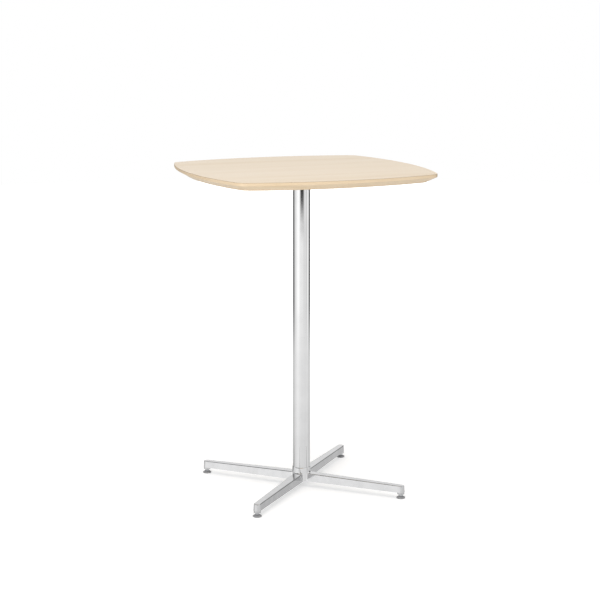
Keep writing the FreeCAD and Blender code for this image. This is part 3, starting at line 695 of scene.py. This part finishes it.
def studShape(centre, under, top):
    values = studValues
    radius, headTop, neck = values["headRadius"], values["headTop"], values["neckRadius"]
    neckTop = values["hexUnder"] + values["neckOverlap"]
    profile = roundCorners([
        (0, under, 0), (radius, under, values["headEase"]), (radius, headTop, values["headEase"]),
        (neck, headTop, 0), (neck, neckTop, 0), (0, neckTop, 0),
    ], values["easeSteps"])
    head = latheShape(profile, values["headSegments"], centre)
    hexagon = hexPrism(values["hexFlats"], values["hexUnder"], values["hexTop"], values["hexEase"], centre,
                       values["hexBore"])
    thread = threadShape(values["threadRadius"], values["rootRadius"], values["pitch"], values["hexTop"], top,
                         (0, values["tipChamfer"]), centre, values["turnSteps"])
    return joinShapes(head, hexagon, thread)


def makeGlides():
    for place in cornerPlaces:
        centre = axisOf("glide_stud_" + place)
        shape = footShape(centre, heights("glide_foot_" + place)[1])
        foot = addPiece("glideFoot_" + place, shape, glidePlastic, "foot_" + place)
        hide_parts("glide_foot_" + place)
        shape = studShape(centre, *heights("glide_stud_" + place))
        stud = addPiece("glideStud_" + place, shape, zincSteel, "stud_" + place)
        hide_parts("glide_stud_" + place)


makeGlides()
print("glides made")


# Tie rod with its nut and washers, in the recess under the hub

rodValues = {
    "radius": 6, "root": 5.2, "pitch": 1.75, "threadTop": 62, "chamfer": 1.2, "shoulderEase": 0.3,
    "easeSteps": 3, "turnSteps": 40,
}
nutValues = {"flats": 18, "ease": 0.9, "bore": 5.6}
springWasherValues = {
    "radius": 10, "bore": 6.4, "ease": 0.4, "boreEase": 0.2, "easeSteps": 3,
    "gap": 9, "slant": 7, "turnSteps": 60,  # gap and slant of the cut in degrees
}
broadWasherValues = {
    "radius": 20, "bore": 6.5, "ease": 0.5, "boreEase": 0.25, "easeSteps": 3, "segments": 72,
}


def rodShape(under, top):
    values = rodValues
    radius, threadTop = values["radius"], values["threadTop"]
    thread = threadShape(radius, values["root"], values["pitch"], under, threadTop,
                         (values["chamfer"], 0), (0, 0), values["turnSteps"])
    profile = roundCorners([
        (0, threadTop, 0), (radius, threadTop, values["shoulderEase"]),
        (radius, top, values["chamfer"]), (0, top, 0),
    ], values["easeSteps"])
    return joinShapes(thread, latheShape(profile, values["turnSteps"]))


def washerSection(values, under, top):
    return ringSection(values["bore"], values["radius"], under, top, values["ease"], values["boreEase"],
                       values["easeSteps"])


def splitRing(section, gap, slant, steps):
    # spring washer: the section carried round the axis, with slanted cut ends
    points, faces, rings = [], [], []
    levels = [height for _, height in section]
    low, high = min(levels), max(levels)
    for step in range(steps + 1):
        start = len(points)
        for radius, height in section[:-1]:
            lean = slant * ((height - low) / (high - low) - 0.5)
            angle = math.radians(gap / 2 + lean + (360 - gap) * step / steps)
            points.append((radius * math.cos(angle), radius * math.sin(angle), height))
        rings.append(list(range(start, len(points))))
    bridgeRings(faces, rings)
    capEnds(faces, rings)
    return points, faces


def makeTieRod():
    rod = addPiece("tieRod", rodShape(*heights("tie_rod")), zincSteel, "table")
    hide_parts("tie_rod")
    under, top = heights("tie_rod_nut")
    shape = hexPrism(nutValues["flats"], under, top, nutValues["ease"], (0, 0), nutValues["bore"])
    nut = addPiece("tieRodNut", shape, zincSteel, "table")
    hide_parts("tie_rod_nut")
    values = springWasherValues
    section = washerSection(values, *heights("tie_rod_lock_washer"))
    shape = splitRing(section, values["gap"], values["slant"], values["turnSteps"])
    spring = addPiece("springWasher", shape, zincSteel, "table")
    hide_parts("tie_rod_lock_washer")
    section = washerSection(broadWasherValues, *heights("tie_rod_washer"))
    shape = latheShape(section, broadWasherValues["segments"])
    broad = addPiece("broadWasher", shape, zincSteel, "table")
    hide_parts("tie_rod_washer")


makeTieRod()
print("tie rod made")


# Button-head screws that hold the mount to the top, two in each arm

screwValues = {
    "reaches": (95, 195), "headHeight": 3.3, "headRadius": 5.5, "rimHeight": 0.8, "rimEase": 0.35,
    "underEase": 0.2, "crownRadius": 2.9, "crownWidth": 1, "crownEase": 1.8,
    "socketFlats": 4, "socketDepth": 2, "socketCone": 0.5, "socketEase": 0.25,
    "shankRadius": 3, "tipChamfer": 0.7, "easeSteps": 5, "segments": 48,
}


def buttonScrew(centre, under, tip):
    values = screwValues
    crown, head, shank = values["crownRadius"], values["headRadius"], values["shankRadius"]
    headTop, count = under + values["headHeight"], values["segments"]
    profile = roundCorners([
        (crown, under, 0), (crown + values["crownWidth"], under, values["crownEase"]),
        (head, headTop - values["rimHeight"], values["rimEase"]), (head, headTop, values["underEase"]),
        (shank, headTop, values["underEase"]), (shank, tip, values["tipChamfer"]), (0, tip, 0),
    ], values["easeSteps"])
    points, faces = latheShape(profile, count, centre)
    rings = [list(range(count))]  # the crown's inner ring leads down into the socket
    floor, ease = under + values["socketDepth"], values["socketEase"]
    for height, grow in ((under, ease), (under + ease, 0), (floor, 0)):
        radii = [radius + grow for radius in hexRadii(values["socketFlats"], count)]
        rings.append(addRing(points, centre, height, radii))
    points.append((*centre, floor + values["socketCone"]))
    rings.append([len(points) - 1] * count)
    bridgeRings(faces, rings)
    return points, [tuple(dict.fromkeys(face)) for face in faces]


def makeScrews():
    screws = []
    for sideX, sideY in cornerPlaces.values():
        for reach in screwValues["reaches"]:
            centre = (sideX * reach / math.sqrt(2), sideY * reach / math.sqrt(2))
            screws.append(buttonScrew(centre, *heights("top_screws")))
    piece = addPiece("topScrews", joinShapes(*screws), zincSteel, "table")
    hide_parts("top_screws")


makeScrews()
print("screws made")


# Nodes that keep their CAD shape take the finishes above

nodeFinishes = {
    "base_casting": polishedCasting, "top_spider": blackCastMount, "top_core": chipboard,
    "backing_veneer": backingSheet, "threaded_inserts": brass,
}
for nodeName, finish in nodeFinishes.items():
    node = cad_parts[nodeName]
    node.data.materials.clear()
    node.data.materials.append(finish)
print("CAD nodes finished")


# Camera, floor and light, in metres and degrees

cameraValues = {
    "place": (-1.8377, -4.5946, 1.590), "lens": 92.12, "sensor": 36.0, "pitch": -10.95, "yaw": -21.743,
}
cameraSide = Vector((cameraValues["place"][0], cameraValues["place"][1], 0)).normalized()
rightSide = Vector((-cameraSide.y, cameraSide.x, 0))


def makeCamera():
    data = bpy.data.cameras.new("photoCamera")
    data.lens = cameraValues["lens"]
    data.sensor_width = cameraValues["sensor"]
    camera = bpy.data.objects.new("photoCamera", data)
    camera.location = cameraValues["place"]
    camera.rotation_euler = (math.radians(90 + cameraValues["pitch"]), 0, math.radians(cameraValues["yaw"]))
    bpy.context.scene.collection.objects.link(camera)
    bpy.context.scene.camera = camera


floorValues = {"radius": 9.0, "paper": 0.96, "lift": 0.37, "fade": (0.8, 2.2), "segments": 96}


def makeFloorPaper():
    paper = bpy.data.materials.new("floorPaper")
    paper.use_nodes = True
    tree = paper.node_tree
    tree.nodes.remove(tree.nodes["Principled BSDF"])
    tone = floorValues["paper"]
    matt = addNode(tree, "ShaderNodeBsdfDiffuse", {"Color": (tone, tone, tone, 1)})
    # the camera sees the paper lifted to white, which lights nothing else
    seen = addNode(tree, "ShaderNodeLightPath").outputs["Is Camera Ray"]
    away = addVectorMath(tree, "LENGTH", addNode(tree, "ShaderNodeTexCoord").outputs["Object"])
    lift = addRange(tree, away, floorValues["fade"], floorValues["lift"], 1.0)
    glow = addNode(tree, "ShaderNodeEmission", {"Strength": addMath(tree, "MULTIPLY", seen, lift)})
    lifted = addNode(tree, "ShaderNodeAddShader", {0: matt.outputs[0], 1: glow.outputs[0]})
    # seen from below the floor is clear, so that views from there show the table
    clear = addNode(tree, "ShaderNodeBsdfTransparent")
    below = addNode(tree, "ShaderNodeNewGeometry").outputs["Backfacing"]
    whole = addNode(tree, "ShaderNodeMixShader", {0: below, 1: lifted.outputs[0], 2: clear.outputs[0]})
    tree.links.new(whole.outputs[0], tree.nodes["Material Output"].inputs["Surface"])
    return paper


def makeFloor():
    points = []
    ring = addRing(points, (0, 0), 0.0, [floorValues["radius"]] * floorValues["segments"])
    mesh = bpy.data.meshes.new("studioFloor")
    mesh.from_pydata(points, [], [tuple(ring)])
    mesh.materials.append(makeFloorPaper())
    floor = bpy.data.objects.new("studioFloor", mesh)
    bpy.context.scene.collection.objects.link(floor)
    floor.visible_glossy = False  # metal shows the studio's own pale floor and walls instead


# What metal sees of the studio, as brightness by bearing from the camera in degrees, right positive
studioWalls = [
    (-180, 0.24), (-150, 0.24), (-109, 0.28), (-99, 0.86), (-82, 0.97), (-64, 1.18), (-50, 1.34), (-34, 1.33),
    (-20, 1.10), (6, 1.05), (22, 1.02), (34, 0.90), (48, 0.96), (55, 0.98), (67, 0.70), (79, 1.06),
    (105, 1.12), (113, 0.12), (180, 0.24),
]
studioGround = [
    (-180, 0.70), (-123, 0.70), (-99, 0.92), (-81, 1.0), (-64, 1.08), (-49, 1.12), (-35, 1.08), (-21, 1.03),
    (6, 0.97), (33, 0.97), (47, 0.94), (78, 0.96), (96, 0.92), (119, 0.76), (180, 0.70),
]
studioValues = {
    "brightest": 1.4, "ambient": 0.64, "seen": 1.0, "backdrop": 1.0, "ceiling": 0.85, "flag": 0.08,
    "doorway": 0.03, "doorwayBearing": 7.0, "doorwayHalfWidth": 31.0, "doorwayFullShare": 0.5,
    "backdropBearings": (142, 156), "nearGroundShare": 0.84,
    # heights are sines of the angle above the horizon
    "groundHeights": (-0.228, -0.192), "nearGroundHeights": (-0.31, -0.245),
    "doorwayHeights": (-0.144, -0.124), "backdropHeights": (0.06, 0.18), "ceilingHeights": (0.30, 0.55),
    "flagBearing": -120.0, "flagRise": 72.0, "flagSpread": (31.0, 21.0),
    # the strip is placed by parts of a unit way: along the right-hand leg, up and towards the camera
    "strip": 0.12, "stripAlong": -0.37, "stripHalfWidths": (0.11, 0.07),
    "stripHeights": (0.36, 0.46), "stripNear": (-0.15, 0.0),
}


def studioRoom(tree, bearing, height):
    # walls and ground by bearing, with a dark doorway behind the camera and a pale backdrop behind the table
    values = studioValues
    turn = addRange(tree, bearing, (-math.pi, math.pi))

    def byBearing(levels):
        stops = [((angle + 180) / 360, level / values["brightest"]) for angle, level in levels]
        return addMath(tree, "MULTIPLY", addRamp(tree, turn, stops), values["brightest"])

    halfWidth = math.radians(values["doorwayHalfWidth"])
    widths = (halfWidth * values["doorwayFullShare"], halfWidth)
    aside = addMath(tree, "SUBTRACT", bearing, math.radians(values["doorwayBearing"]))
    across = addRange(tree, addMath(tree, "ABSOLUTE", aside), widths, 1.0, 0.0)
    doorway = addMath(tree, "MULTIPLY", across, addRange(tree, height, values["doorwayHeights"]))
    walls = mixValues(tree, doorway, byBearing(studioWalls), values["doorway"])
    nearGround = addRange(tree, height, values["nearGroundHeights"], values["nearGroundShare"], 1.0)
    ground = addMath(tree, "MULTIPLY", byBearing(studioGround), nearGround)
    room = mixValues(tree, addRange(tree, height, values["groundHeights"]), ground, walls)
    behind = [math.radians(angle) for angle in values["backdropBearings"]]
    backdrop = addMath(tree, "MULTIPLY", addRange(tree, addMath(tree, "ABSOLUTE", bearing), behind),
                       addRange(tree, height, values["backdropHeights"]))
    room = mixValues(tree, backdrop, room, values["backdrop"])
    return mixValues(tree, addRange(tree, height, values["ceilingHeights"]), room, values["ceiling"])


def studioFlag(tree, way):
    # black flag hung high on the left, which draws the dark line along the upper edges of the legs
    turn, rise = math.radians(studioValues["flagBearing"]), math.radians(studioValues["flagRise"])
    side = cameraSide * math.cos(turn) + rightSide * math.sin(turn)
    flagWay = side * math.cos(rise) + Vector((0, 0, math.sin(rise)))
    spread = [math.cos(math.radians(angle)) for angle in studioValues["flagSpread"]]
    return addRange(tree, addVectorMath(tree, "DOT_PRODUCT", way, flagWay), spread)


def studioStrip(tree, way, near, height):
    # dark strip that runs down from the flag on the camera's side and makes that line broader
    legWay = Vector((*cornerPlaces["front_right"], 0)).normalized()
    along = addVectorMath(tree, "DOT_PRODUCT", way, legWay)
    off = addMath(tree, "ABSOLUTE", addMath(tree, "SUBTRACT", along, studioValues["stripAlong"]))
    share = addRange(tree, off, studioValues["stripHalfWidths"])
    share = addMath(tree, "MULTIPLY", share, addRange(tree, height, studioValues["stripHeights"]))
    return addMath(tree, "MULTIPLY", share, addRange(tree, near, studioValues["stripNear"]))


def makeStudio():
    values = studioValues
    world = bpy.data.worlds.new("studio")
    bpy.context.scene.world = world
    world.use_nodes = True
    tree = world.node_tree
    way = addNode(tree, "ShaderNodeTexCoord").outputs["Generated"]
    height = addNode(tree, "ShaderNodeSeparateXYZ", {0: way}).outputs["Z"]
    near = addVectorMath(tree, "DOT_PRODUCT", way, cameraSide)
    bearing = addMath(tree, "ARCTAN2", addVectorMath(tree, "DOT_PRODUCT", way, rightSide), near)
    mirror = studioRoom(tree, bearing, height)
    mirror = mixValues(tree, studioStrip(tree, way, near, height), mirror, values["strip"])
    mirror = mixValues(tree, studioFlag(tree, way), mirror, values["flag"])
    # metal and glass see the studio, the camera sees white and the rest is lit evenly
    ray = addNode(tree, "ShaderNodeLightPath").outputs
    mirrored = addMath(tree, "MAXIMUM", ray["Is Glossy Ray"], ray["Is Transmission Ray"])
    level = mixValues(tree, mirrored, values["ambient"], mirror)
    level = mixValues(tree, ray["Is Camera Ray"], level, values["seen"])
    background = tree.nodes["Background"]
    tree.links.new(level, background.inputs["Strength"])
    background.inputs["Color"].default_value = (1, 1, 1, 1)


lampValues = {
    "overheadLamp": {"place": (-0.3, -0.6, 3.4), "aim": (0, 0, 0.6), "size": 2.6, "power": 31},
    "frontLamp": {"place": (-2.6, -3.2, 1.3), "aim": (0, 0, 0.9), "size": 1.8, "power": 44},
}


def makeLamps():
    for name, values in lampValues.items():
        data = bpy.data.lights.new(name, "AREA")
        data.size = values["size"]
        data.energy = values["power"]
        lamp = bpy.data.objects.new(name, data)
        lamp.location = values["place"]
        aim = Vector(values["aim"]) - Vector(values["place"])
        lamp.rotation_euler = aim.to_track_quat("-Z", "Y").to_euler()
        lamp.visible_glossy = False  # metal shows the studio walls instead
        bpy.context.scene.collection.objects.link(lamp)


makeCamera()
makeFloor()
makeStudio()
makeLamps()
bpy.context.scene.view_settings.view_transform = "Standard"
print("camera, floor and light set")
